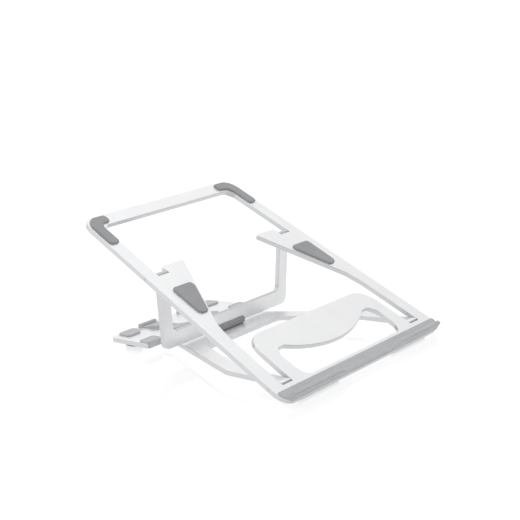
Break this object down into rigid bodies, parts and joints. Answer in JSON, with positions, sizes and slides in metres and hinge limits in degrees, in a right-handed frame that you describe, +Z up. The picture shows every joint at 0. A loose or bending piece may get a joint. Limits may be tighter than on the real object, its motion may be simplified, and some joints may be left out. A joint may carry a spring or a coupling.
{
  "type": "folding laptop stand",
  "caption": "Flat folding desk stand for a laptop: a tapered tray with a padded front lip, a hinged base plate and a swing-down support frame, all in thin metal plate.",
  "frame": {"origin": "on the desk, under the middle of the stand's bounding box, in the raised pose", "axes": "+Z up from the desk, +Y from the front lip towards the raised rear edge, +X to the right for a user facing the stand's front lip"},
  "size_m": [0.261, 0.2142, 0.1108],
  "materials": {
    "anodised_aluminium": "fine satin, anodised silver",
    "steel_pin": "turned ends, satin",
    "lip_silicone": "matte grey silicone",
    "tray_pad_silicone": "matte grey silicone",
    "base_pad_silicone": "matte grey silicone",
    "sleeve_silicone": "matte dark grey silicone",
    "foot_silicone": "matte grey silicone"
  },
  "bodies": {
    "base": {"base_plate": "anodised_aluminium", "base_rear_pad_left": "base_pad_silicone", "base_rear_pad_right": "base_pad_silicone", "base_front_pad_left": "base_pad_silicone", "base_front_pad_right": "base_pad_silicone", "base_strip_left": "base_pad_silicone", "base_strip_right": "base_pad_silicone", "rear_foot_left": "foot_silicone", "rear_foot_right": "foot_silicone"},
    "tray": {"tray_plate": "anodised_aluminium", "lip_strip": "lip_silicone", "rest_pad_left": "tray_pad_silicone", "rest_pad_right": "tray_pad_silicone", "corner_pad_left": "tray_pad_silicone", "corner_pad_right": "tray_pad_silicone", "front_pin_left": "steel_pin", "front_pin_right": "steel_pin", "upper_pin_left": "steel_pin", "upper_pin_right": "steel_pin", "front_foot_left": "foot_silicone", "front_foot_right": "foot_silicone"},
    "support": {"support_frame": "anodised_aluminium", "support_sleeve": "sleeve_silicone"}
  },
  "joints": [
    {"name": "tray_hinge", "type": "hinge", "parent": "base", "child": "tray", "pos_m": [0, -0.087, 0.0114], "axis": [1, 0, 0], "range_deg": [0, 60]},
    {"name": "support_hinge", "type": "hinge", "parent": "tray", "child": "support", "pos_m": [0, 0.03718, 0.07386], "axis": [1, 0, 0], "range_deg": [0, 120.2]}
  ]
}
